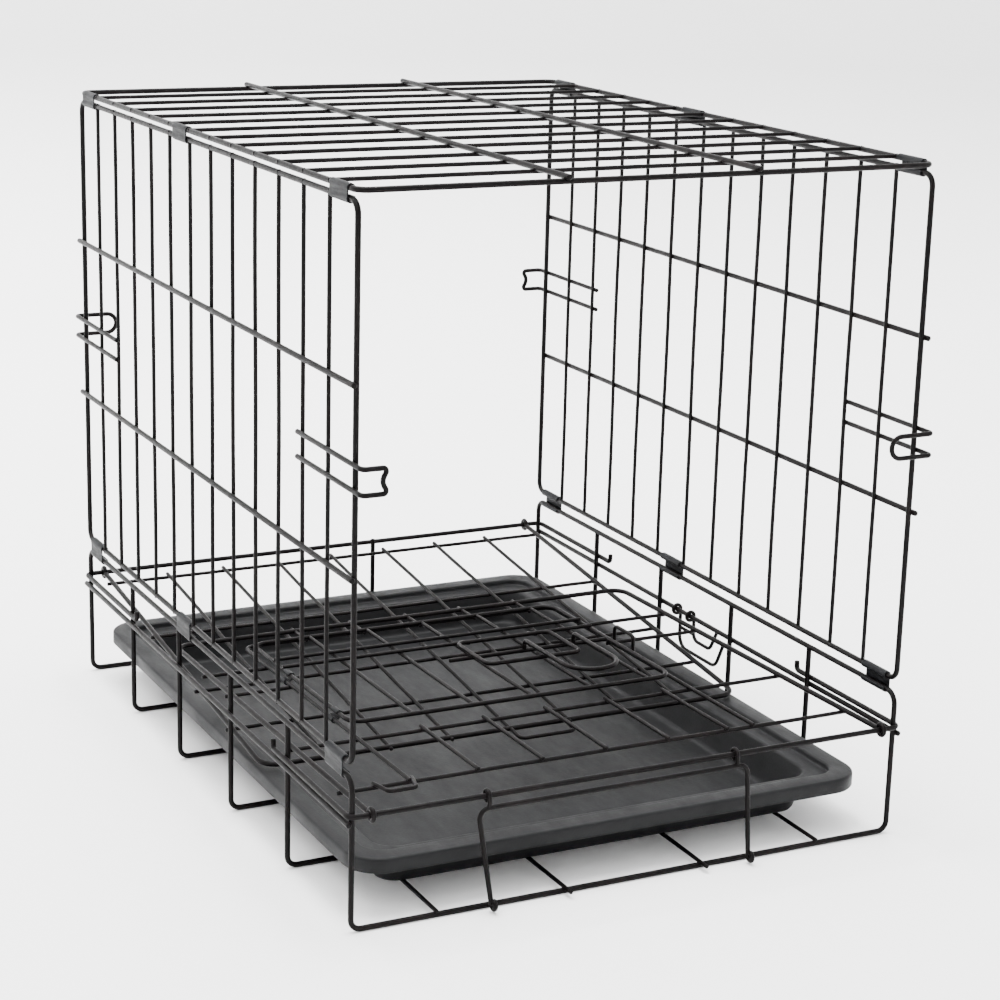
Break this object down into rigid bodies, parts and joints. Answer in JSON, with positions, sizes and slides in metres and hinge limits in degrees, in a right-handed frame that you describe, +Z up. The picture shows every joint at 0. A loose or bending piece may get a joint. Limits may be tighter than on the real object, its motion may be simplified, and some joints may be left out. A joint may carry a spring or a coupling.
{
  "type": "wire dog crate",
  "caption": "Folding wire dog crate with hinged sides and roof, fold-down front and rear panels, latched door and slide-in tray.",
  "frame": {"origin": "on the floor, under the middle of the base", "axes": "+X the crate's right side seen from the front, +Y its rear, +Z up"},
  "size_m": [0.3658, 0.4966, 0.4121],
  "materials": {
    "coated_wire": "satin black coating on steel wire",
    "clip_steel": "dark satin coated sheet steel",
    "tray_plastic": "moulded black plastic, fine matte grain"
  },
  "bodies": {
    "base": {"base_floor": "coated_wire", "base_left_wall": "coated_wire", "base_right_wall": "coated_wire", "base_left_rail": "coated_wire", "base_right_rail": "coated_wire", "front_hinge_rail": "coated_wire", "rear_hinge_rail": "coated_wire", "base_left_clips": "clip_steel", "base_right_clips": "clip_steel"},
    "left_side": {"left_side_mesh": "coated_wire", "left_front_catch": "coated_wire", "left_rear_catch": "coated_wire"},
    "right_side": {"right_side_mesh": "coated_wire", "right_front_catch": "coated_wire", "right_rear_catch": "coated_wire"},
    "roof": {"roof_mesh": "coated_wire", "roof_left_clips": "clip_steel", "roof_right_clips": "clip_steel"},
    "front_panel": {"front_panel_mesh": "coated_wire", "front_panel_hook": "coated_wire", "bolt_keeper": "coated_wire"},
    "door": {"door_mesh": "coated_wire", "door_clips": "clip_steel", "bolt_guide": "coated_wire"},
    "bolt": {"slide_bolt": "coated_wire"},
    "rear_panel": {"rear_panel_mesh": "coated_wire"},
    "gate": {"tray_gate": "coated_wire"},
    "carry": {"carry_hook": "coated_wire"},
    "tray": {"tray": "tray_plastic"}
  },
  "joints": [
    {"name": "side_fold", "type": "hinge", "parent": "base", "child": "left_side", "pos_m": [-0.1775, 0, 0.0985], "axis": [0, -1, 0], "range_deg": [-80, 0]},
    {"name": "right_fold", "type": "hinge", "parent": "base", "child": "right_side", "pos_m": [0.1775, 0, 0.0985], "axis": [0, -1, 0], "range_deg": [-80, 0]},
    {"name": "roof_fold", "type": "hinge", "parent": "left_side", "child": "roof", "pos_m": [-0.1775, 0, 0.4025], "axis": [0, -1, 0], "range_deg": [0, 80]},
    {"name": "front_panel_hinge", "type": "hinge", "parent": "base", "child": "front_panel", "pos_m": [0, -0.2356, 0.069], "axis": [1, 0, 0], "range_deg": [0, 91]},
    {"name": "rear_panel_hinge", "type": "hinge", "parent": "base", "child": "rear_panel", "pos_m": [0, 0.2356, 0.071], "axis": [-1, 0, 0], "range_deg": [0, 1.5]},
    {"name": "door_hinge", "type": "hinge", "parent": "front_panel", "child": "door", "pos_m": [-0.1266, -0.04563, 0.06568], "axis": [0, -0.9998, 0.0175], "range_deg": [0, 100]},
    {"name": "bolt_slide", "type": "slide", "parent": "door", "child": "bolt", "axis": [1, 0, 0], "range_m": [0, 0.022]},
    {"name": "gate_hinge", "type": "hinge", "parent": "base", "child": "gate", "pos_m": [0, -0.2356, 0.069], "axis": [-1, 0, 0], "range_deg": [0, 120]},
    {"name": "carry_hinge", "type": "hinge", "parent": "base", "child": "carry", "pos_m": [0.1801, 0.018, 0.0645], "axis": [0, -1, 0], "range_deg": [0, 90]},
    {"name": "tray_slide", "type": "slide", "parent": "base", "child": "tray", "axis": [0, -1, 0], "range_m": [0, 0.014]}
  ],
  "couplings": [
    {"joint": "right_fold", "follows": "side_fold", "ratio": 1},
    {"joint": "roof_fold", "follows": "side_fold", "ratio": -1}
  ]
}
